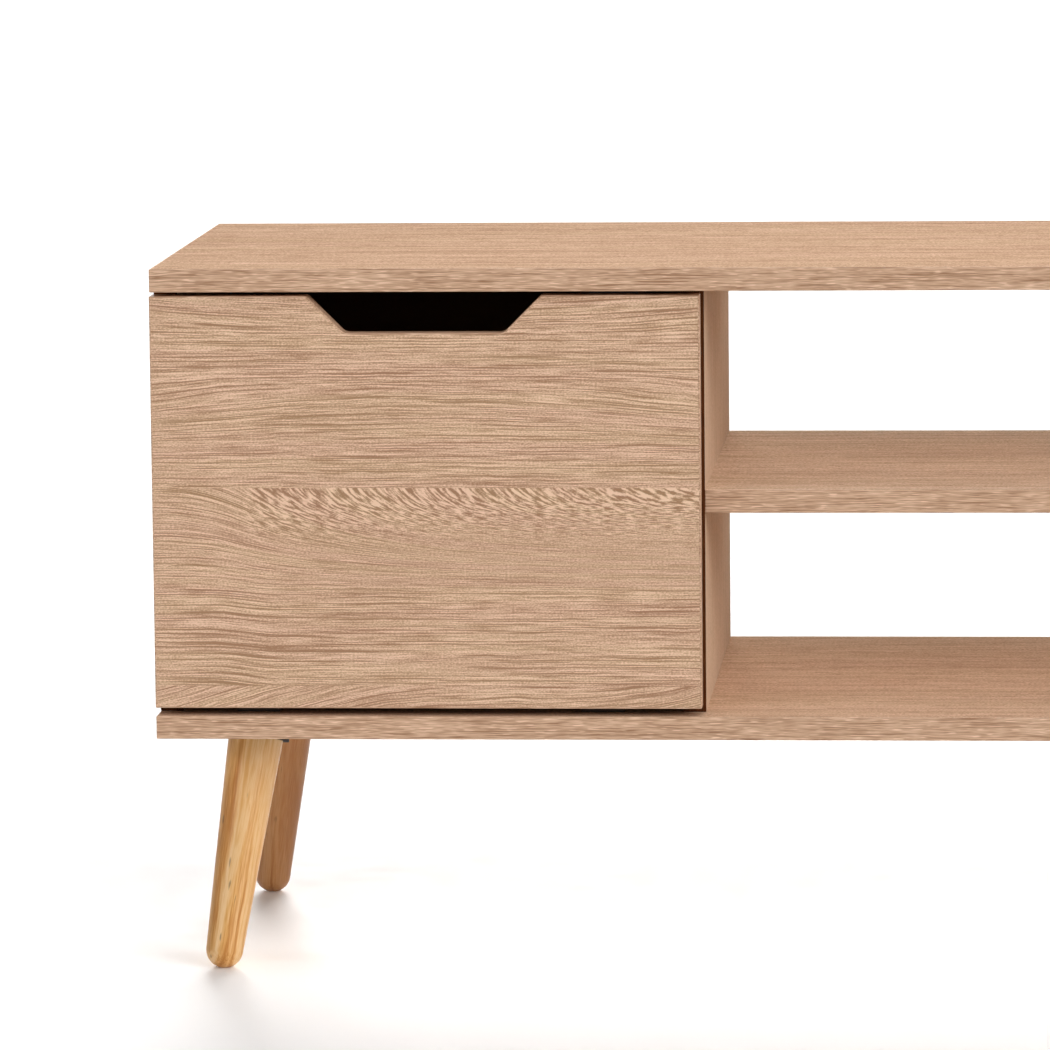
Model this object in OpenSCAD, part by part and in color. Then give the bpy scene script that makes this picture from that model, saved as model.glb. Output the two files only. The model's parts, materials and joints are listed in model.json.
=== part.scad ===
// TV stand: two drop-down doors, an open centre bay with a shelf, splayed turned legs.
// X runs along the stand, -Y is its front and +Z is up.
// The origin is on the floor, under the middle of the stand.

/* [Body] */
// Length of the top and bottom boards
body_w = 1200; // [1100:10:1500]
// Depth of the top and bottom boards
body_d = 390; // [350:5:450]
// Thickness of every laminated board
board_t = 16; // [15:0.5:19]
// Clear height between the bottom board and the top board
inner_h = 295; // [260:5:360]
// Thickness of the edge banding
band_t = 1; // [0.5:0.5:2]
// Distance that the uprights and the shelf stand back from the board fronts
setback = 24; // [24:0.5:30]
// Clear width of the open centre bay
bay_w = 438; // [380:2:500]
// Clear height under the centre shelf
lower_bay_h = 139; // [110:1:180]
// Thickness of the closed back panels
back_t = 3; // [2.5:0.5:5]

/* [Doors] */
// Thickness of a door
door_t = 16; // [16:0.5:18]
// Distance of a door's face behind the board fronts
door_recess = 3; // [1:0.5:5]
// Gap above a door
door_gap_top = 3; // [2:0.5:5]
// Gap under a door, which the lower edge swings through
door_gap_bottom = 5.3; // [5:0.1:8]
// Distance that a door's outer edge stands past the board ends
door_proud = 0.7; // [0:0.1:1]
// Strip of the divider left bare beside a door
door_reveal = 2; // [1:0.5:4]
// Width of the finger cutout at the door's top edge
cut_top_w = 162; // [120:2:200]
// Width of the finger cutout at its flat lower edge
cut_low_w = 110; // [80:2:118]
// Depth of the finger cutout
cut_h = 26; // [20:1:40]
// Radius of the cutout's lower corners
cut_low_r = 8; // [2:0.5:10]
// Radius of the cutout's upper corners
cut_top_r = 3; // [2.5:0.5:5]

/* [Legs] */
// Height of the bottom board's underside above the floor
leg_h = 170; // [150:5:220]
// Distance of a foot's centre from the board end
foot_inset_x = 37.5; // [30:0.5:60]
// Distance of a foot's centre from the board front
foot_inset_y = 45; // [35:0.5:70]
// Distance of the leg axis from the board end, at the underside
leg_top_inset_x = 61; // [55:0.5:90]
// Distance of the leg axis from the board front, at the underside
leg_top_inset_y = 86; // [60:0.5:100]
// Leg radius at the rounded foot
foot_r = 13.1; // [10:0.1:16]
// Leg radius at the underside
leg_top_r = 19.8; // [17:0.1:20]
// Depth of the flat that each rounded foot stands on
foot_flat = 0.7; // [0.5:0.1:1.5]

/* [Hinges] */
// Height of the hinge pin above the door's lower edge
pin_rise = 8; // [8:0.5:9]
// Distance of the hinge pin behind the door's face
pin_back = 9; // [9:0.5:9.5]
// Distance of each hinge from the door's middle
hinge_x = 120; // [90:5:135]

/* [Hidden] */
eps = 0.01;
fit = 0.05;
$fn = 48;

front_y = -body_d / 2;
low_z = leg_h + board_t;
top_z = low_z + inner_h;
upright_y = front_y + setback;
upright_d = body_d - setback - back_t;
side_x = -body_w / 2;
divider_x = -bay_w / 2 - board_t;
cabinet_w = divider_x + board_t - side_x;
shelf_z = low_z + lower_bay_h;
shelf_mid_z = shelf_z + board_t / 2;

door_x = side_x - door_proud;
door_w = cabinet_w + door_proud - door_reveal;
door_h = inner_h - door_gap_top - door_gap_bottom;
door_y = front_y + door_recess;
door_z = low_z + door_gap_bottom;
door_mid_x = door_x + door_w / 2;

pin_y = door_y + pin_back;
pin_z = door_z + pin_rise;
pin_r = 1.5;
pin_len = 16.8;
cup_r = 17.4;
cup_bore_r = 17.5;
cup_wall = 1;
cup_depth = 11.4;
cup_bore_depth = 11.5;
cup_rim = 3;
cup_rise = cup_bore_r + cup_rim - pin_rise;
cup_back = door_t - pin_back;
cheek_x = [5.3, 8.3];
cheek_r = 3;
wing_w = 56;
wing_h = 16;
wing_t = 1.2;
wing_screw_x = 22.5;
arm_t = 2.5;
arm_w = 9;
arm_knuckle_r = 3;
arm_rise = 13;
arm_neck_y = 12;
arm_foot_y = 42;
arm_stop = [1.9, 3.5, 3];
arm_screw_y = 30;
arm_screw_r = 2;
arm_screw_head_r = 3.5;
arm_screw_head_t = 2;
plate_t = 2;
plate_w = 30;
plate_y = [11, 46];
plate_screw_at = [10, 38];
foot_z = plate_t - pin_rise - door_gap_bottom;

catch_size = [44, 13, 13];
catch_x = 130;
catch_gap = 0.3;
magnet_size = [34, 4, 9];
catch_screw_x = 17;
catch_screw_in = 3.5;
strike_size = [36, 1, 9];
strike_screw_x = 12;
strike_z = top_z - catch_size[2] / 2 - 1.5;
catch_y = door_y + door_t + strike_size[1] + catch_gap;

cam_r = 7.5;
cam_depth = 12.5;
cam_drop = 34;
cam_slot = [4, 1.2, 9];
cam_play = 0.4;
cam_bolt_r = 3;
cam_bolt_tip_r = 2.5;
cam_bolt_tip = 11;
dowel_r = 4;
dowel_len = 27;
dowel_up = 10;
dowel_down = 8;
joint_y = [0.16, 0.84];
dowel_y = [0.3, 0.7];
shelf_y = [0.18, 0.82];
nail_rows = 5;

// Screws and nails: shank radius, length, head radius, head thickness.
base_screw = [2.5, 50, 5, 4];
nail = [0.7, 14, 1.6, 0.6];
leg_screw = [1.75, 16, 3.6, 1.6];
cup_screw = [1.75, 13, 3.6, 1.6];
plate_screw = [1.75, 15, 3.6, 1.6];
catch_screw = [1.5, 24, 2.8, 2];
strike_screw = [1.25, 12, 2.4, 0.6];

leg_drop = 12;
leg_seat = 0.02;
leg_dir = [leg_top_inset_x - foot_inset_x, leg_top_inset_y - foot_inset_y, leg_h];
leg_tilt = acos(leg_dir[2] / norm(leg_dir));
leg_turn = atan2(leg_dir[1], leg_dir[0]);
leg_len = (leg_h - leg_drop) / cos(leg_tilt);
leg_taper = (leg_top_r - foot_r) / norm(leg_dir);
dome_s = (foot_r - foot_flat) / cos(leg_tilt);
leg_end_r = foot_r + leg_taper * leg_len;
leg_head = [leg_drop * leg_dir[0] / leg_h, leg_drop * leg_dir[1] / leg_h];
plate_mid = [side_x + leg_top_inset_x - leg_head[0], front_y + leg_top_inset_y - leg_head[1]];
leg_plate_w = 66;
leg_plate_t = 1.8;
leg_cup_r = 23.5;
leg_screw_at = 27;
leg_bolt_r = 4;
leg_bolt_in = 30;
leg_bolt_out = 9.5;
leg_nut_r = 7.5;
leg_nut_t = 5;

// ---- helpers ----

// Draws its children on the left, or on the right as their mirror image.
module on_side(right) {
  if (right) mirror([1, 0, 0]) children();
  else children();
}

module both_sides() {
  for (right = [false, true]) on_side(right) children();
}

// Draws its children at one corner of the stand, from the front left one.
module at_corner(right, rear) {
  on_side(right) {
    if (rear) mirror([0, 1, 0]) children();
    else children();
  }
}

module all_corners() {
  for (right = [false, true]) for (rear = [false, true]) at_corner(right, rear) children();
}

// A box with its front lower left corner at the given place.
module slab(at, size) {
  translate(at) cube(size);
}

// A round bar along +Z, or along the direction that turn gives.
module bar(at, r, len, turn = [0, 0, 0]) {
  translate(at) rotate(turn) cylinder(r = r, h = len);
}

// A screw whose head starts at the given place and whose point lies along turn.
module screw(at, size, turn = [0, 0, 0], grow = 0) {
  bar(at, size[0] + grow, size[1], turn);
  bar(at, size[2] + grow, size[3], turn);
}

// ---- boards ----

// A board inside its edge band, over-long by the given amount above and below.
module board_core(z, over = 0) {
  at = [side_x + band_t, front_y + band_t, z - over];
  slab(at, [body_w - 2 * band_t, body_d - 2 * band_t, board_t + 2 * over]);
}

module board_band(z) {
  difference() {
    slab([side_x, front_y, z], [body_w, body_d, board_t]);
    board_core(z, 1);
  }
}

// The two uprights of one cabinet: the x of each one's middle, and the way its cabinet lies.
uprights = [[side_x + board_t / 2, 1], [divider_x + board_t / 2, -1]];

module left_cam_bolts(grow = 0) {
  for (u = uprights, k = joint_y) {
    y = upright_y + k * upright_d;
    bar([u[0], y, top_z - cam_drop], cam_bolt_r + grow, cam_drop);
    bar([u[0], y, top_z - eps], cam_bolt_tip_r + grow, cam_bolt_tip);
  }
}

module left_cam_bores(grow = 0) {
  for (u = uprights, k = joint_y) {
    face = u[0] + u[1] * board_t / 2;
    at = [face, upright_y + k * upright_d, top_z - cam_drop];
    bar(at, cam_r + grow, cam_depth + grow, [0, -90 * u[1], 0]);
  }
}

module left_dowels(grow = 0) {
  for (u = uprights, k = dowel_y) {
    y = upright_y + k * upright_d;
    bar([u[0], y, top_z + dowel_up - dowel_len], dowel_r + grow, dowel_len);
    bar([u[0], y, low_z - dowel_down], dowel_r + grow, dowel_len);
  }
}

module left_base_screws(grow = 0) {
  for (u = uprights, k = joint_y) {
    screw([u[0], upright_y + k * upright_d, leg_h], base_screw, grow = grow);
  }
}

module left_shelf_screws(grow = 0) {
  for (k = shelf_y) {
    at = [divider_x, upright_y + k * upright_d, shelf_mid_z];
    screw(at, base_screw, [0, 90, 0], grow);
  }
}

module top_panel() {
  color("burlywood") difference() {
    board_core(top_z);
    both_sides() {
      left_cam_bolts(fit);
      left_dowels(fit);
      left_catch_screws(fit);
    }
  }
}

module top_edge_band() {
  color("tan") board_band(top_z);
}

module bottom_panel() {
  color("burlywood") difference() {
    board_core(leg_h);
    both_sides() {
      left_base_screws(fit);
      left_dowels(fit);
      left_hinge_plate_screws(fit);
    }
    all_corners() leg_screw_set(fit);
  }
}

module bottom_edge_band() {
  color("tan") board_band(leg_h);
}

// One upright without its front band, with the bores of the fittings that hold it.
module upright(x) {
  difference() {
    slab([x, upright_y + band_t, low_z], [board_t, upright_d - band_t, inner_h]);
    left_cam_bolts(fit);
    left_cam_bores(fit);
    left_dowels(fit);
    left_base_screws(fit);
    left_shelf_screws(fit);
    left_nails(fit);
  }
}

module upright_band(x) {
  slab([x, upright_y, low_z], [board_t, band_t, inner_h]);
}

module side_panel(right) {
  color("burlywood") on_side(right) upright(side_x);
}

module divider(right) {
  color("peru") on_side(right) upright(divider_x);
}

module side_edge_bands() {
  color("saddlebrown") both_sides() upright_band(side_x);
}

module divider_edge_bands() {
  color("saddlebrown") both_sides() upright_band(divider_x);
}

module centre_shelf() {
  color("burlywood") difference() {
    slab([-bay_w / 2, upright_y + band_t, shelf_z], [bay_w, body_d - setback - 2 * band_t, board_t]);
    both_sides() left_shelf_screws(fit);
  }
}

module shelf_edge_bands() {
  color("tan") for (y = [upright_y, -front_y - band_t]) {
    slab([-bay_w / 2, y, shelf_z], [bay_w, band_t, board_t]);
  }
}

module left_nails(grow = 0) {
  pitch = (inner_h - 2 * board_t) / (nail_rows - 1);
  for (u = uprights, k = [0 : nail_rows - 1]) {
    at = [u[0], -front_y, low_z + board_t + k * pitch];
    screw(at, nail, [90, 0, 0], grow);
  }
}

module back_panel(right) {
  color("peru") on_side(right) difference() {
    slab([side_x, -front_y - back_t, low_z], [cabinet_w, back_t, inner_h]);
    left_nails(fit);
  }
}

module back_panel_nails() {
  color("silver") both_sides() left_nails();
}

// ---- fittings of the body ----

// A cam lock with the slot that takes the cam bolt's head and a cross slot in its face.
module cam_locks() {
  color("silver") both_sides() difference() {
    left_cam_bores();
    left_cam_bolts(cam_play);
    for (u = uprights, k = joint_y) {
      face = u[0] + u[1] * board_t / 2;
      translate([face, upright_y + k * upright_d, top_z - cam_drop]) {
        for (turn = [0, 90]) rotate([turn, 0, 0]) cube(cam_slot, center = true);
      }
    }
  }
}

module cam_bolts() {
  color("silver") both_sides() left_cam_bolts();
}

module wood_dowels() {
  color("moccasin") both_sides() left_dowels();
}

module base_screws() {
  color("silver") both_sides() left_base_screws();
}

module shelf_screws() {
  color("silver") both_sides() left_shelf_screws();
}

// ---- legs ----

// Leg coordinates: +Z runs up the axis of the front left leg, from the floor.
module in_leg() {
  translate([side_x + foot_inset_x, front_y + foot_inset_y, 0]) rotate([0, leg_tilt, leg_turn]) children();
}

module leg(right, rear) {
  color("goldenrod") at_corner(right, rear) difference() {
    in_leg() translate([0, 0, dome_s]) {
      sphere(r = foot_r);
      cylinder(r1 = foot_r, r2 = leg_end_r, h = leg_len - dome_s - leg_seat);
    }
    in_leg() bar([0, 0, leg_len - leg_bolt_in], leg_bolt_r + fit, leg_bolt_in + 1);
    slab([side_x, front_y, -2 * foot_r], [200, 200, 2 * foot_r]);
  }
}

// The upright round well of a leg plate, above the leg's end and that much higher.
module leg_well(r, rise) {
  intersection() {
    bar([plate_mid[0], plate_mid[1], leg_h - 3 * leg_drop], r, 3 * leg_drop);
    in_leg() translate([-60, -60, leg_len + rise]) cube([120, 120, 80]);
  }
}

module leg_screw_set(grow = 0) {
  for (dx = [-leg_screw_at, leg_screw_at], dy = [-leg_screw_at, leg_screw_at]) {
    at = [plate_mid[0] + dx, plate_mid[1] + dy, leg_h - leg_plate_t - leg_screw[3]];
    screw(at, leg_screw, grow = grow);
  }
}

// A square flange under the board, with a well whose floor is square to the leg.
module leg_plate(right, rear) {
  color("dimgray") at_corner(right, rear) difference() {
    union() {
      translate([plate_mid[0], plate_mid[1], leg_h - leg_plate_t / 2])
        cube([leg_plate_w, leg_plate_w, leg_plate_t], center = true);
      leg_well(leg_cup_r, 0);
    }
    leg_well(leg_cup_r - leg_plate_t, leg_plate_t);
    bar([plate_mid[0], plate_mid[1], leg_h - 3], leg_cup_r - leg_plate_t, 6);
    in_leg() bar([0, 0, leg_len - 1], leg_bolt_r + fit, leg_plate_t + 2);
    leg_screw_set(fit);
  }
}

module leg_bolts() {
  color("silver") all_corners() in_leg() {
    bar([0, 0, leg_len - leg_bolt_in], leg_bolt_r, leg_bolt_in + leg_bolt_out);
  }
}

module leg_nuts() {
  color("silver") all_corners() in_leg() difference() {
    translate([0, 0, leg_len + leg_plate_t]) cylinder(r = leg_nut_r, h = leg_nut_t, $fn = 6);
    bar([0, 0, leg_len], leg_bolt_r + fit, 20);
  }
}

module leg_plate_screws() {
  color("silver") all_corners() leg_screw_set();
}

// ---- doors ----

function unit(v) = v / norm(v);

// Points of the round that replaces corner p of the outline a, p, b.
function rounded(a, p, b, r, steps = 8) =
  let (u = unit(a - p), v = unit(b - p), half = acos(u * v) / 2)
  let (c = p + unit(u + v) * r / sin(half), p0 = p + u * r / tan(half) - c, p1 = p + v * r / tan(half) - c)
  let (a0 = atan2(p0[1], p0[0]), turn = atan2(p0[0] * p1[1] - p0[1] * p1[0], p0 * p1))
  [for (k = [0 : steps]) c + r * [cos(a0 + turn * k / steps), sin(a0 + turn * k / steps)]];

// Outline of a door in its own X and Z, drawn in by the given distance all round.
function door_outline(by) =
  let (slope = (cut_top_w - cut_low_w) / 2 / cut_h, lean = by * (slope - sqrt(1 + slope * slope)))
  let (top = door_h - by, low = door_h - cut_h - by, mid = door_w / 2)
  let (a = [mid - cut_top_w / 2 + lean, top], b = [mid - cut_low_w / 2 + lean, low])
  let (c = [mid + cut_low_w / 2 - lean, low], d = [mid + cut_top_w / 2 - lean, top])
  let (left_top = [by, top], right_top = [door_w - by, top])
  concat(
    [[by, by], left_top],
    rounded(left_top, a, b, cut_top_r - by),
    rounded(a, b, c, cut_low_r + by),
    rounded(b, c, d, cut_low_r + by),
    rounded(c, d, right_top, cut_top_r - by),
    [right_top, [door_w - by, by]]
  );

module door_blank(by) {
  translate([door_x, door_y + door_t, door_z]) rotate([90, 0, 0])
    linear_extrude(height = door_t) polygon(door_outline(by));
}

module door_panel(right) {
  color("burlywood") on_side(right) difference() {
    door_blank(band_t);
    at_hinges() cup_bar(cup_bore_r, cup_bore_depth);
    left_cup_screws(fit);
    left_strike_screws(fit);
  }
}

module door_band(right) {
  color("tan") on_side(right) difference() {
    door_blank(0);
    translate([0, 1, 0]) door_blank(band_t);
    translate([0, -1, 0]) door_blank(band_t);
  }
}

// ---- hinges: a cup in the door, and a goosenecked arm on the bottom board ----

// Draws its children at both hinges of the left door, with the pin's middle as their origin.
module at_hinges() {
  for (dx = [-hinge_x, hinge_x]) translate([door_mid_x + dx, pin_y, pin_z]) children();
}

// A round bar from the door's back into the door, on the cup's axis.
module cup_bar(r, depth, start = 0) {
  bar([0, cup_back + start, cup_rise], r, depth + start, [90, 0, 0]);
}

module left_cup_screws(grow = 0) {
  at_hinges() for (dx = [-wing_screw_x, wing_screw_x]) {
    screw([dx, cup_back + wing_t + cup_screw[3], cup_rise], cup_screw, [90, 0, 0], grow);
  }
}

// The two blocks inside a cup that hold the pin's ends.
module cup_cheeks() {
  intersection() {
    cup_bar(cup_r - cup_wall / 2, cup_depth - cup_wall / 2);
    for (x = [cheek_x[0], -cheek_x[1]]) {
      translate([x, -cup_depth, -2 * cheek_r])
        cube([cheek_x[1] - cheek_x[0], cup_depth + cheek_r, 3 * cheek_r]);
    }
  }
}

module hinge_cups(right) {
  color("dimgray") on_side(right) difference() {
    at_hinges() difference() {
      union() {
        difference() {
          union() {
            cup_bar(cup_r, cup_depth);
            translate([-wing_w / 2, cup_back, cup_rise - wing_h / 2]) cube([wing_w, wing_t, wing_h]);
          }
          cup_bar(cup_r - cup_wall, cup_depth - cup_wall, 2 * wing_t);
        }
        cup_cheeks();
      }
      bar([-pin_len, 0, 0], pin_r + fit / 2, 2 * pin_len, [0, 90, 0]);
    }
    left_cup_screws(fit);
  }
}

module hinge_pins(right) {
  color("gray") on_side(right) at_hinges() bar([-pin_len / 2, 0, 0], pin_r, pin_len, [0, 90, 0]);
}

module cup_screws(right) {
  color("silver") on_side(right) left_cup_screws();
}

// Side view of an arm: knuckle, neck over the door's lower edge, and foot.
module arm_outline() {
  bend = (arm_neck_y + arm_t / 2) / 2;
  difference() {
    union() {
      circle(r = arm_knuckle_r);
      translate([-arm_t / 2, 0]) square([arm_t, arm_rise]);
      translate([arm_t / 2 - eps, arm_stop[1]]) square([arm_stop[0], arm_stop[2]]);
      translate([arm_neck_y, foot_z]) square([arm_t, arm_rise - foot_z]);
      translate([arm_neck_y, foot_z]) square([arm_foot_y - arm_neck_y, arm_t]);
      intersection() {
        translate([bend, arm_rise]) difference() {
          circle(r = bend + arm_t / 2);
          circle(r = bend - arm_t / 2);
        }
        translate([-arm_t, arm_rise]) square([4 * bend, 2 * bend]);
      }
    }
    circle(r = pin_r + fit);
  }
}

module left_arm_screws(grow = 0) {
  at_hinges() {
    bar([0, arm_screw_y, foot_z - plate_t], arm_screw_r + grow, plate_t + arm_t);
    bar([0, arm_screw_y, foot_z + arm_t], arm_screw_head_r + grow, arm_screw_head_t);
  }
}

module hinge_arms(right) {
  color("dimgray") on_side(right) difference() {
    at_hinges() rotate([90, 0, 90]) linear_extrude(height = arm_w, center = true) arm_outline();
    left_arm_screws(fit);
  }
}

module left_hinge_plate_screws(grow = 0) {
  at_hinges() for (dx = [-plate_screw_at[0], plate_screw_at[0]]) {
    screw([dx, plate_screw_at[1], foot_z + plate_screw[3]], plate_screw, [180, 0, 0], grow);
  }
}

module hinge_plates(right) {
  color("dimgray") on_side(right) difference() {
    at_hinges() translate([-plate_w / 2, plate_y[0], foot_z - plate_t])
      cube([plate_w, plate_y[1] - plate_y[0], plate_t]);
    left_hinge_plate_screws(fit);
    left_arm_screws(fit);
  }
}

module hinge_plate_screws() {
  color("silver") both_sides() left_hinge_plate_screws();
}

module hinge_arm_screws() {
  color("silver") both_sides() left_arm_screws();
}

// ---- magnetic catches ----

// Draws its children under the top board, with the catch's front upper edge middle as their origin.
module at_catch() {
  translate([door_mid_x + catch_x, catch_y, top_z]) children();
}

module left_catch_screws(grow = 0) {
  at_catch() for (dx = [-catch_screw_x, catch_screw_x]) {
    screw([dx, catch_size[1] - catch_screw_in, -catch_size[2]], catch_screw, grow = grow);
  }
}

module magnet_block(grow = 0) {
  translate([-magnet_size[0] / 2 - grow, -1, -catch_size[2] / 2 - magnet_size[2] / 2 - grow])
    cube([magnet_size[0] + 2 * grow, magnet_size[1] + 1 + grow, magnet_size[2] + 2 * grow]);
}

module catch_body(right) {
  color("sienna") on_side(right) difference() {
    at_catch() difference() {
      translate([-catch_size[0] / 2, 0, -catch_size[2]]) cube(catch_size);
      magnet_block(fit);
    }
    left_catch_screws(fit);
  }
}

module catch_magnets() {
  color("dimgray") both_sides() at_catch() intersection() {
    magnet_block();
    translate([-magnet_size[0], 0, -catch_size[2]]) cube([2 * magnet_size[0], 10, catch_size[2]]);
  }
}

module catch_screws() {
  color("silver") both_sides() left_catch_screws();
}

module left_strike_screws(grow = 0) {
  for (dx = [-strike_screw_x, strike_screw_x]) {
    at = [door_mid_x + catch_x + dx, door_y + door_t + strike_size[1], strike_z];
    screw(at, strike_screw, [90, 0, 0], grow);
  }
}

module strike_plate(right) {
  color("silver") on_side(right) difference() {
    translate([door_mid_x + catch_x - strike_size[0] / 2, door_y + door_t, strike_z - strike_size[2] / 2])
      cube(strike_size);
    left_strike_screws(fit);
  }
}

module strike_screws(right) {
  color("silver") on_side(right) left_strike_screws();
}

// ---- nodes ----

top_panel();
top_edge_band();
bottom_panel();
bottom_edge_band();
side_panel(false);  // side_panel_left
side_panel(true);  // side_panel_right
side_edge_bands();
divider(false);  // divider_left
divider(true);  // divider_right
divider_edge_bands();
centre_shelf();
shelf_edge_bands();
back_panel(false);  // back_panel_left
back_panel(true);  // back_panel_right
back_panel_nails();
cam_locks();
cam_bolts();
wood_dowels();
base_screws();
shelf_screws();
leg(false, false);  // leg_front_left
leg(true, false);  // leg_front_right
leg(false, true);  // leg_rear_left
leg(true, true);  // leg_rear_right
leg_plate(false, false);  // leg_plate_front_left
leg_plate(true, false);  // leg_plate_front_right
leg_plate(false, true);  // leg_plate_rear_left
leg_plate(true, true);  // leg_plate_rear_right
leg_bolts();
leg_nuts();
leg_plate_screws();
door_panel(false);  // door_panel_left
door_panel(true);  // door_panel_right
door_band(false);  // door_band_left
door_band(true);  // door_band_right
hinge_cups(false);  // hinge_cups_left
hinge_cups(true);  // hinge_cups_right
hinge_pins(false);  // hinge_pins_left
hinge_pins(true);  // hinge_pins_right
cup_screws(false);  // cup_screws_left
cup_screws(true);  // cup_screws_right
hinge_arms(false);  // hinge_arms_left
hinge_arms(true);  // hinge_arms_right
hinge_plates(false);  // hinge_plates_left
hinge_plates(true);  // hinge_plates_right
hinge_plate_screws();
hinge_arm_screws();
catch_body(false);  // catch_body_left
catch_body(true);  // catch_body_right
catch_magnets();
catch_screws();
strike_plate(false);  // strike_plate_left
strike_plate(true);  // strike_plate_right
strike_screws(false);  // strike_screws_left
strike_screws(true);  // strike_screws_right
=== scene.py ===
"""Looks of the TV stand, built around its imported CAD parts.

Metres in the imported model's own frame: +X runs along the stand, -Y is its front and +Z is up.
Patterns inside the materials are written in millimetres.
"""
import json
import math

import bmesh
import bpy
from mathutils import Matrix, Vector
from mathutils.kdtree import KDTree


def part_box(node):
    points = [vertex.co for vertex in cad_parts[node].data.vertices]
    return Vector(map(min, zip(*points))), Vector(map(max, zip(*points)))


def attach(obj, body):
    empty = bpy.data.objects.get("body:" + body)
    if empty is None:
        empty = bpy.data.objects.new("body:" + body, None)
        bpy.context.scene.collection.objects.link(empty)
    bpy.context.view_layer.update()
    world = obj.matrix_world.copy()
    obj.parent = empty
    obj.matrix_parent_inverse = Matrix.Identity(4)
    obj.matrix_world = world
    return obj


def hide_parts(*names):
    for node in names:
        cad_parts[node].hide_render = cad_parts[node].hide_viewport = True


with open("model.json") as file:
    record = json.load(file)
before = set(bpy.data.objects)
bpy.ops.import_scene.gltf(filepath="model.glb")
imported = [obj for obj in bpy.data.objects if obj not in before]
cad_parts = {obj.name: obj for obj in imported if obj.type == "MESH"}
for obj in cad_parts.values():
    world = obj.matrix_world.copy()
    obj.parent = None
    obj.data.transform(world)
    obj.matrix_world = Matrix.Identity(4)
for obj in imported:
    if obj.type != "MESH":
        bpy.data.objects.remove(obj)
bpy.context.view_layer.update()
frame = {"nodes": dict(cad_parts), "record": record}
nodes = frame["nodes"]
slot_of = {part["node"]: part["material_slot"] for part in frame["record"]["subparts"]}
bodies = frame["record"]["behaviour"]["bodies"]
body_of = {node: body for body, names in bodies.items() for node in names}
MM = 0.001


# ---- pattern arithmetic ----


class Num:
    """A number in a material's node tree, so that a pattern reads as plain arithmetic."""

    def __init__(self, tree, socket):
        self.tree = tree
        self.socket = socket

    def math(self, operation, *others):
        node = self.tree.nodes.new("ShaderNodeMath")
        node.operation = operation
        for index, value in enumerate((self, *others)):
            plug(self.tree, value, node.inputs[index])
        return Num(self.tree, node.outputs[0])

    def __add__(self, other):
        return self.math("ADD", other)

    def __radd__(self, other):
        return self.math("ADD", other)

    def __sub__(self, other):
        return self.math("SUBTRACT", other)

    def __rsub__(self, other):
        return (self * -1).math("ADD", other)

    def __mul__(self, other):
        return self.math("MULTIPLY", other)

    def __rmul__(self, other):
        return self.math("MULTIPLY", other)

    def __truediv__(self, other):
        return self.math("DIVIDE", other)

    def __abs__(self):
        return self.math("ABSOLUTE")

    def above(self, edge):
        return self.math("GREATER_THAN", edge)

    def above_zero(self):
        return self.math("MAXIMUM", 0.0)

    def exp(self):
        return self.math("EXPONENT")

    def step(self, low, high):
        """0 at low, 1 at high, and a smooth rise between them."""
        node = self.tree.nodes.new("ShaderNodeMapRange")
        node.interpolation_type = "SMOOTHSTEP"
        plug(self.tree, self, node.inputs["Value"])
        node.inputs["From Min"].default_value = low
        node.inputs["From Max"].default_value = high
        return Num(self.tree, node.outputs[0])


def plug(tree, value, socket):
    """Links a Num or a socket, or sets a plain value."""
    if isinstance(value, Num):
        value = value.socket
    if isinstance(value, bpy.types.NodeSocket):
        tree.links.new(value, socket)
    else:
        socket.default_value = value


def blend(low, high, share):
    """low where share is 0, high where it is 1."""
    return low + (high - low) * share


def srgb(red, green, blue):
    """A linear colour from the usual 0 to 255 scale."""
    return tuple(((c / 255 + 0.055) / 1.055) ** 2.4 for c in (red, green, blue)) + (1.0,)


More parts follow.
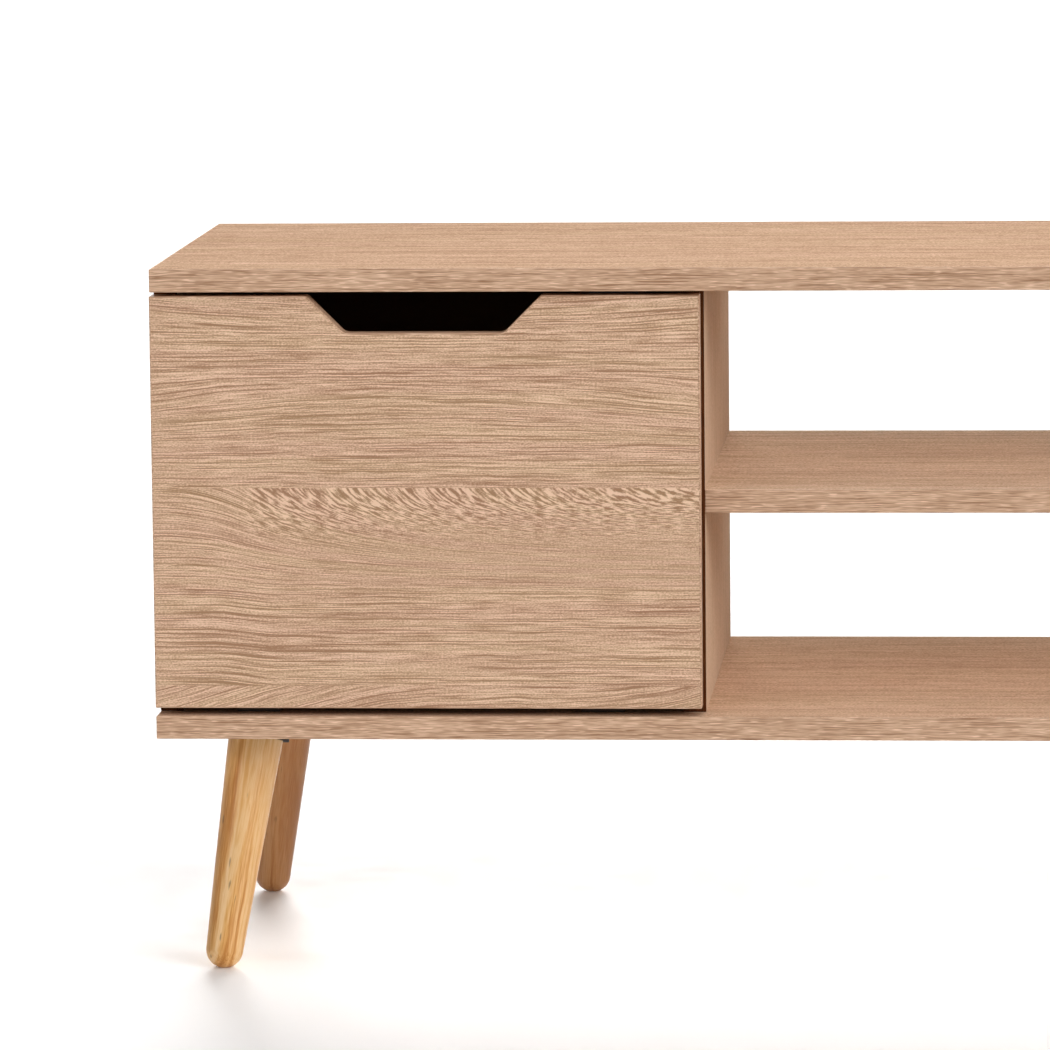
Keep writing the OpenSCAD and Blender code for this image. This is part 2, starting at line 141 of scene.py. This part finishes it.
class Finish:
    """One procedural material, with the object's own coordinates as its pattern space."""

    def __init__(self, name, roughness=0.5, metallic=0.0, specular=0.5):
        self.material = bpy.data.materials.new(name)
        self.material.use_nodes = True
        self.tree = self.material.node_tree
        self.shader = self.tree.nodes["Principled BSDF"]
        self.shader.inputs["Roughness"].default_value = roughness
        self.shader.inputs["Metallic"].default_value = metallic
        self.shader.inputs["Specular IOR Level"].default_value = specular
        coordinates = self.tree.nodes.new("ShaderNodeTexCoord")
        split = self.tree.nodes.new("ShaderNodeSeparateXYZ")
        self.tree.links.new(coordinates.outputs["Object"], split.inputs[0])
        self.x, self.y, self.z = (Num(self.tree, out) / MM for out in split.outputs)

    def along(self, axis):
        """The coordinates in millimetres, with the named axis first."""
        axes = {"x": self.x, "y": self.y, "z": self.z}
        return axes.pop(axis), *axes.values()

    def noise(self, a, b, c=0.0, detail=2.0):
        """Smooth noise of about 0 to 1, whose features are about one unit of a, b and c."""
        join = self.tree.nodes.new("ShaderNodeCombineXYZ")
        for index, value in enumerate((a, b, c)):
            plug(self.tree, value, join.inputs[index])
        node = self.tree.nodes.new("ShaderNodeTexNoise")
        self.tree.links.new(join.outputs[0], node.inputs["Vector"])
        node.inputs["Scale"].default_value = 1.0
        node.inputs["Detail"].default_value = detail
        return Num(self.tree, node.outputs[0])

    def ramp(self, value, *stops):
        """A colour from (place, colour) stops."""
        node = self.tree.nodes.new("ShaderNodeValToRGB")
        plug(self.tree, value, node.inputs[0])
        elements = node.color_ramp.elements
        while len(elements) < len(stops):
            elements.new(0.5)
        for element, (place, colour) in zip(elements, stops):
            element.position = place
            element.color = colour
        return node.outputs[0]

    def tint(self, colour, other, share):
        """The colour moved towards the other by a share, which may be a Num."""
        node = self.tree.nodes.new("ShaderNodeMix")
        node.data_type = "RGBA"
        plug(self.tree, share, node.inputs[0])
        plug(self.tree, colour, node.inputs[6])
        plug(self.tree, other, node.inputs[7])
        return node.outputs[2]

    def paint(self, colour):
        plug(self.tree, colour, self.shader.inputs["Base Color"])

    def gloss(self, roughness):
        plug(self.tree, roughness, self.shader.inputs["Roughness"])

    def emboss(self, height, depth_mm, strength):
        node = self.tree.nodes.new("ShaderNodeBump")
        plug(self.tree, height, node.inputs["Height"])
        node.inputs["Distance"].default_value = depth_mm * MM
        node.inputs["Strength"].default_value = strength
        self.tree.links.new(node.outputs[0], self.shader.inputs["Normal"])


# ---- wood laminates ----


# Each print has a dark, a middle and a light shade.
OAK = (srgb(156, 119, 92), srgb(202, 166, 138), srgb(240, 206, 178))
# A lighter copy of the oak print: painted light, for the light that reaches the shelf top inside
# the bay.
PAINTED_LIGHT_OAK = (srgb(172, 142, 118), srgb(214, 186, 160), srgb(244, 220, 196))
# The dark edge band's colours: partly the band's own brown, partly a painted shade for the deep
# shade in the recesses beside and behind the doors.
DARK_BROWN_AND_SHADE = (srgb(62, 32, 14), srgb(86, 46, 22), srgb(108, 66, 38))
# A pale tint laid over a board's print: painted light, making the board look more brightly lit.
PAINTED_LIGHT_TINT = srgb(210, 186, 162)
PINKISH = srgb(196, 150, 128)
YELLOWISH = srgb(208, 180, 138)
BAND_TINT = 0.16


def print_colour(finish, tone, shades):
    """The print's colour, where tone runs from 0, a pore, to 1, a light fibre."""
    dark, mid, light = shades
    return finish.ramp(tone, (0.0, dark), (0.5, mid), (1.0, light))


def oak_colour(finish, tone, band, shades=OAK):
    """An oak print whose band runs from 0, pinkish wood, to 1, yellowish wood."""
    oak = print_colour(finish, tone, shades)
    pink = finish.tint(oak, PINKISH, BAND_TINT)
    yellow = finish.tint(oak, YELLOWISH, BAND_TINT)
    return finish.tint(pink, yellow, band)


# The planks printed on a door, from its top downwards.
HALF_DOOR = 190
UPPER_PLANK = 133
UPPER_AND_MIDDLE_PLANK = 271
# Shifts that give the middle and the lower plank their own stretch of the pattern.
MIDDLE_SHIFT = 400
LOWER_SHIFT = 900


def upper_plank_grain(across, up, joint, door_top):
    """Lines that sag near the door's top and hump in the middle of the plank."""
    from_middle = across / HALF_DOOR - 1
    hump_height, hump_spread, hump_rise = 55, 20, 11
    sag_depth, sag_spread, sag_drop = 42, 36, 7
    hump = (up - (joint + hump_height)) / hump_spread
    sag = (up - (door_top - sag_depth)).step(0, sag_spread)
    bow = (hump * hump * -1).exp() * -hump_rise + sag * sag_drop
    return up - bow * from_middle * from_middle


def middle_plank_grain(across, depth):
    """Lines that run down to the right from the upper joint, depth below it."""
    fall = across.step(10, 300) * 130 + across.step(230, 400) * 36
    fade = 1 - depth.step(8, 75)
    steep_start = (1 - (depth / -6).exp()) * 3.6 * across.step(40, 90)
    return steep_start + fall * fade - depth


def lower_plank_grain(across, up):
    """Lines that sweep up to the right."""
    return up - across * 0.3 + across.step(120, 380) * 52


def door_laminate(name, door_left, door_top, seed):
    """Embossed oak print made of three planks, the middle one with a flame figure at its top."""
    finish = Finish(name, roughness=0.55, specular=0.02)
    across = finish.x - door_left
    up = finish.z
    upper_joint = door_top - UPPER_PLANK
    lower_joint = door_top - UPPER_AND_MIDDLE_PLANK
    depth = (upper_joint - up).above_zero()
    wave = finish.noise(across / 60, up / 24, seed) - 0.5

    upper = upper_plank_grain(across, up, upper_joint, door_top) + wave * 3
    middle = middle_plank_grain(across, depth) + wave * 3 + MIDDLE_SHIFT
    lower = lower_plank_grain(across, up) + wave * 5 + LOWER_SHIFT
    in_upper = up.above(upper_joint)
    in_lower = 1 - up.above(lower_joint)
    grain = blend(blend(middle, upper, in_upper), lower, in_lower)
    flame = (1 - in_upper) * (1 - in_lower) * across.step(50, 80) * (1 - depth.step(10, 50))

    fibre = finish.noise(across / 22, grain / 0.7, seed + 3, detail=1) - 0.5
    dashes = finish.noise(across / 8, grain / 1.8, seed + 5, detail=1) - 0.5
    lines = finish.noise(across / 100, grain, seed + 8, detail=1)
    bold = finish.noise(across / 170, grain / 2.4, seed + 14, detail=1)
    bold_share = finish.noise(across / 150, grain / 26, seed + 17).step(0.42, 0.62)
    speckle = finish.noise(across / 1.5, up / 0.9, seed + 11, detail=1) - 0.5
    pores = lines.step(0.55, 0.67) * 0.9 + bold.step(0.58, 0.67) * bold_share * 0.7
    shine = 0.5 - lines.step(0.26, 0.5) * 0.5
    straight = fibre * 1.7 + shine * 0.8 - pores
    tone = 0.53 + blend(straight, dashes * 6.0, flame * 0.9) + speckle * 1.4
    band = finish.noise(across / 300, grain / 13, seed + 20, detail=1).step(0.35, 0.65)
    finish.paint(oak_colour(finish, tone, band))
    finish.emboss(tone, 0.10, 0.35)
    return finish.material


def board_laminate(name, axis, wash=0.0, seed=0.0, shades=OAK):
    """Calmer oak print, with its grain along the named axis and wash as its share of a pale tint, a
    painted light that makes the board look more brightly lit.
    """
    finish = Finish(name, roughness=0.6, specular=0.0)
    u, v, w = finish.along(axis)
    wave = (finish.noise(u / 160, v / 45, w / 45 + seed) - 0.5) * 22
    v = v + wave
    w = w + wave
    fibre = finish.noise(u / 22, v / 0.8, w / 0.8 + seed, detail=1) - 0.5
    lines = finish.noise(u / 110, v / 1.5, w / 1.5 + seed + 10, detail=1)
    streak = finish.noise(u / 240, v / 7, w / 7 + seed + 20, detail=2) - 0.5
    speckle = finish.noise(u / 1.8, v / 1.2, w / 1.2 + seed, detail=1) - 0.5
    tone = 0.52 + fibre * 0.9 + streak * 0.9 + speckle * 1.7 - lines.step(0.54, 0.7) * 0.4
    band = finish.noise(u / 400, v / 30, w / 30 + seed, detail=1).step(0.35, 0.65) * 0.6 + 0.2
    # The share of pale tint here is painted light.
    finish.paint(finish.tint(oak_colour(finish, tone, band, shades), PAINTED_LIGHT_TINT, wash))
    finish.emboss(tone, 0.06, 0.25)
    return finish.material


def edge_band_laminate(name, axis, shades=OAK):
    """Wood edge band, with coarser long streaks along the named axis."""
    finish = Finish(name, roughness=0.55, specular=0.02)
    u, v, w = finish.along(axis)
    wave = (finish.noise(u / 60, v / 9, w / 9) - 0.5) * 0.8
    v = v + wave
    w = w + wave
    fibre = finish.noise(u / 12, v / 0.6, w / 0.6, detail=1) - 0.5
    lines = finish.noise(u / 45, v / 0.9, w / 0.9 + 10, detail=1)
    broad = finish.noise(u / 60, v / 4, w / 4, detail=1) - 0.5
    glint = finish.noise(u / 9, v / 0.8, w / 0.8 + 30, detail=0).step(0.62, 0.78)
    tone = 0.48 + fibre * 1.25 + broad * 0.4 + glint * 0.35 - lines.step(0.5, 0.7) * 0.45
    finish.paint(print_colour(finish, tone, shades))
    finish.emboss(tone, 0.05, 0.3)
    return finish.material


# ---- other finishes ----


def plain_finish(
    name, colour, roughness, metallic=0.0, grain_mm=0.8, variation=0.08, bump_mm=0.02
):
    """A plain material with fine mottling in its colour, gloss and surface."""
    finish = Finish(name, roughness, metallic)
    fine = finish.noise(*(axis / grain_mm for axis in (finish.x, finish.y, finish.z)), detail=3)
    cloud = finish.noise(*(axis / 25 for axis in (finish.x, finish.y, finish.z)))
    shade = (fine - 0.5) * variation * 2 + (cloud - 0.5) * variation + 0.5
    darker = tuple(c * 0.8 for c in colour[:3]) + (1.0,)
    lighter = tuple(min(1.0, c * 1.2) for c in colour[:3]) + (1.0,)
    finish.paint(finish.ramp(shade, (0.3, darker), (0.5, colour), (0.7, lighter)))
    finish.gloss((cloud - 0.5) * 0.12 + roughness)
    finish.emboss(fine, bump_mm, 0.3)
    return finish.material


# How far a foot stands outside the leg's top, along X and along Y, and the leg's height.
FOOT_OUT_X = 23.5
FOOT_OUT_Y = 41
LEG_HEIGHT = 170
LEG_DARK_FLECK = srgb(92, 62, 32)


def leg_wood(name, dark, mid, light):
    """Lacquered hardwood with stripes that run up the leaning leg, and a few dark flecks."""
    finish = Finish(name, roughness=0.36)
    across = abs(finish.x) + finish.z * (FOOT_OUT_X / LEG_HEIGHT)
    back = abs(finish.y) + finish.z * (FOOT_OUT_Y / LEG_HEIGHT)
    wobble = (finish.noise(across / 30, back / 30, finish.z / 60) - 0.5) * 5
    stripe = finish.noise((across + back * 0.4 + wobble) / 7, back / 50, finish.z / 300)
    fine = finish.noise(across / 0.9, back / 0.9, finish.z / 22) - 0.5
    tone = stripe + fine * 0.3
    colour = finish.ramp(tone, (0.34, dark), (0.46, mid), (0.56, light), (0.68, mid))
    fleck = finish.noise(across / 3.5, back / 6, finish.z / 16, detail=1).step(0.7, 0.8)
    finish.paint(finish.tint(colour, LEG_DARK_FLECK, fleck * 0.6))
    finish.emboss(tone, 0.04, 0.2)
    return finish.material


LEG_SHADES = (srgb(192, 126, 56), srgb(222, 168, 98), srgb(236, 196, 142))
# The rear legs' colours: the same leg wood painted darker, a painted shade for the shade under the
# stand.
PAINTED_SHADE_REAR_LEG_COLOURS = (srgb(148, 92, 46), srgb(172, 116, 66), srgb(186, 136, 86))
DOOR_SEED_STEP = 40.0


def make_materials():
    """Every material, by its name. Blender may number the names, as the CAD parts use some."""
    made = {}

    def add(make, name, *details, **more):
        made[name] = make(name, *details, **more)

    for index, side in enumerate(("left", "right")):
        low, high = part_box(f"door_band_{side}")
        seed = DOOR_SEED_STEP * index
        add(door_laminate, f"oak_laminate_door_{side}", low.x / MM, high.z / MM, seed)
    add(board_laminate, "oak_laminate_board", "x")
    # The bottom panel's copy is washed a little paler: painted light.
    add(board_laminate, "oak_laminate_inner", "x", wash=0.2, seed=20)
    # The centre shelf's copy of the board print is painted lighter: painted light.
    add(board_laminate, "oak_laminate_shelf", "x", seed=45, shades=PAINTED_LIGHT_OAK)
    # The uprights' copy is washed paler: painted light for the light on the divider faces, and the
    # wash also calms their grain.
    add(board_laminate, "oak_laminate_upright", "z", wash=0.55, seed=70)
    add(edge_band_laminate, "oak_edge_band", "x")
    # The dark edge band is partly its own brown and partly painted shade of the recesses behind the
    # doors.
    add(edge_band_laminate, "dark_edge_band", "z", DARK_BROWN_AND_SHADE)
    add(edge_band_laminate, "door_edge_band", "x")
    add(plain_finish, "hardboard", srgb(134, 98, 68), 0.75, grain_mm=1.6, variation=0.16)
    add(leg_wood, "leg_wood", *LEG_SHADES)
    # A darker copy of the leg wood for the rear legs: painted shade.
    add(leg_wood, "leg_wood_rear", *PAINTED_SHADE_REAR_LEG_COLOURS)
    add(plain_finish, "beech_dowel", srgb(222, 190, 150), 0.6)
    add(plain_finish, "zinc_steel", srgb(205, 205, 200), 0.3, metallic=1.0, variation=0.04)
    add(plain_finish, "cast_zinc", srgb(190, 190, 192), 0.45, metallic=1.0)
    add(plain_finish, "plate_steel", srgb(30, 25, 21), 0.8, grain_mm=0.5)
    add(plain_finish, "nickel_hinge", srgb(72, 64, 58), 0.3, metallic=1.0, variation=0.03)
    add(plain_finish, "catch_plastic", srgb(92, 62, 42), 0.5)
    add(plain_finish, "magnet", srgb(70, 70, 74), 0.6)
    add(plain_finish, "strike_steel", srgb(205, 205, 205), 0.28, metallic=1.0, variation=0.04)
    return made


def dress(piece, material):
    piece.data.materials.clear()
    piece.data.materials.append(material)


# ---- pieces ----


EDGE_RADIUS = 0.6 * MM
SHARP_ANGLE = math.radians(30)
FLAT_ANGLE = math.radians(1)
WELD_DISTANCE = 1e-6
TOUCH_DISTANCE = 1e-5


def eased(node, against):
    """A copy of a CAD part with rounded edges, except where it meets the parts named in against."""
    mesh = nodes[node].data.copy()
    mesh.name = f"{node}_eased"
    solid = bmesh.new()
    solid.from_mesh(mesh)
    bmesh.ops.remove_doubles(solid, verts=solid.verts, dist=WELD_DISTANCE)
    bmesh.ops.dissolve_limit(solid, angle_limit=FLAT_ANGLE, verts=solid.verts, edges=solid.edges)
    touching = KDTree(sum(len(nodes[other].data.vertices) for other in against))
    for other in against:
        for vertex in nodes[other].data.vertices:
            touching.insert(vertex.co, vertex.index)
    touching.balance()

    def met(vertex):
        return touching.find(vertex.co)[2] < TOUCH_DISTANCE

    sharp = [
        edge
        for edge in solid.edges
        if edge.is_manifold
        and edge.calc_face_angle_signed() > SHARP_ANGLE
        and not (met(edge.verts[0]) and met(edge.verts[1]))
    ]
    bmesh.ops.bevel(
        solid, geom=sharp, offset=EDGE_RADIUS, segments=3, profile=0.5, affect="EDGES"
    )
    for face in solid.faces:
        face.smooth = True
    mesh.clear_geometry()
    solid.to_mesh(mesh)
    solid.free()
    piece = bpy.data.objects.new(f"{node}_eased", mesh)
    bpy.context.scene.collection.objects.link(piece)
    weighted = piece.modifiers.new("Flat faces stay flat", "WEIGHTED_NORMAL")
    weighted.weight = 100
    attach(piece, body_of[node])
    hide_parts(node)
    return piece


def make_edge_bands(materials):
    boards_behind = {
        "top_edge_band": ["top_panel"],
        "bottom_edge_band": ["bottom_panel"],
        "shelf_edge_bands": ["centre_shelf"],
        "side_edge_bands": ["side_panel_left", "side_panel_right"],
        "divider_edge_bands": ["divider_left", "divider_right"],
        "door_band_left": ["door_panel_left"],
        "door_band_right": ["door_panel_right"],
    }
    for node, against in boards_behind.items():
        dress(eased(node, against), materials[slot_of[node]])


def dress_nodes(materials):
    """Gives each CAD node the material of its slot, or its own variant of it: a door's own print,
    or a copy of the slot's material with painted light or painted shade.
    """
    for node, piece in nodes.items():
        slot = slot_of[node]
        if slot == "oak_laminate_door":
            slot = f"{slot}_{node.split('_')[-1]}"
        elif node.startswith("leg_rear"):
            # Rear legs take the darker copy of the leg wood, a painted shade.
            slot = "leg_wood_rear"
        elif node == "bottom_panel":
            # The bottom panel takes the paler copy of the board print, a painted light.
            slot = "oak_laminate_inner"
        elif node == "centre_shelf":
            # The centre shelf takes the lighter copy of the board print, a painted light.
            slot = "oak_laminate_shelf"
        dress(piece, materials[slot])


# ---- room, light and camera ----


def make_floor():
    mesh = bpy.data.meshes.new("floor")
    half = 60.0
    corners = [(-half, -half, 0), (half, -half, 0), (half, half, 0), (-half, half, 0)]
    mesh.from_pydata(corners, [], [(0, 1, 2, 3)])
    floor = bpy.data.objects.new("floor", mesh)
    bpy.context.scene.collection.objects.link(floor)
    pale = srgb(250, 250, 250)
    dress(floor, plain_finish("pale_floor", pale, 0.7, grain_mm=3, variation=0.01, bump_mm=0.0))


def make_world(strength, horizon):
    """White surroundings, whose light goes from horizon low down to strength higher up."""
    world = bpy.data.worlds.new("studio")
    world.use_nodes = True
    tree = world.node_tree
    background = tree.nodes["Background"]
    background.inputs["Color"].default_value = (1.0, 1.0, 1.0, 1.0)
    coordinates = tree.nodes.new("ShaderNodeTexCoord")
    split = tree.nodes.new("ShaderNodeSeparateXYZ")
    tree.links.new(coordinates.outputs["Generated"], split.inputs[0])
    height = Num(tree, split.outputs[2])
    fading = blend(horizon, strength, height.step(0.25, 0.6))
    plug(tree, fading, background.inputs["Strength"])
    bpy.context.scene.world = world


def aim_lamp(light, place, aim):
    lamp = bpy.data.objects.new(light.name, light)
    lamp.location = place
    lamp.rotation_euler = (Vector(aim) - Vector(place)).to_track_quat("-Z", "Y").to_euler()
    bpy.context.scene.collection.objects.link(lamp)


def make_softbox(name, place, aim, size, power):
    light = bpy.data.lights.new(name, "AREA")
    light.shape = "RECTANGLE"
    light.size, light.size_y = size
    light.energy = power
    aim_lamp(light, place, aim)


def make_glow(name, place, aim, width_deg, strength):
    """Even light from far off, as wide as its angle."""
    light = bpy.data.lights.new(name, "SUN")
    light.angle = math.radians(width_deg)
    light.energy = strength
    aim_lamp(light, place, aim)


# The viewpoint of the photograph, solved from the edges of the boards.
CAMERA_PLACE = (0.00692, -4.61817, 0.88486)
CAMERA_YAW = 0.0787
CAMERA_PITCH = 0.12669
CAMERA_ROLL = -0.00998
CAMERA_LENS = 222.77


def make_camera():
    data = bpy.data.cameras.new("camera")
    data.sensor_width = 36.0
    data.lens = CAMERA_LENS
    data.clip_end = 200.0
    camera = bpy.data.objects.new("camera", data)
    yaw = Matrix.Rotation(CAMERA_YAW, 4, "Z")
    pitch = Matrix.Rotation(math.pi / 2 - CAMERA_PITCH, 4, "X")
    roll = Matrix.Rotation(CAMERA_ROLL, 4, "Z")
    camera.matrix_world = Matrix.Translation(CAMERA_PLACE) @ yaw @ pitch @ roll
    bpy.context.scene.collection.objects.link(camera)
    bpy.context.scene.camera = camera


def main():
    materials = make_materials()
    dress_nodes(materials)
    make_edge_bands(materials)
    make_floor()
    make_world(strength=0.12, horizon=0.35)
    make_glow("back", (0.4, 7.0, 2.2), (0, 0, 0.35), width_deg=34, strength=4.4)
    make_glow("key", (4.2, -3.6, 2.6), (0, 0, 0.25), width_deg=30, strength=1.33)
    make_glow("fill", (-3.0, -3.2, 1.9), (0, 0, 0.25), width_deg=12, strength=0.38)
    make_softbox("overhead", (0.35, -0.7, 2.6), (0.1, 0, 0.3), size=(2.0, 1.4), power=26.5)
    make_camera()
    bpy.context.scene.view_settings.view_transform = "Standard"
    bpy.context.scene.view_settings.look = "None"


main()
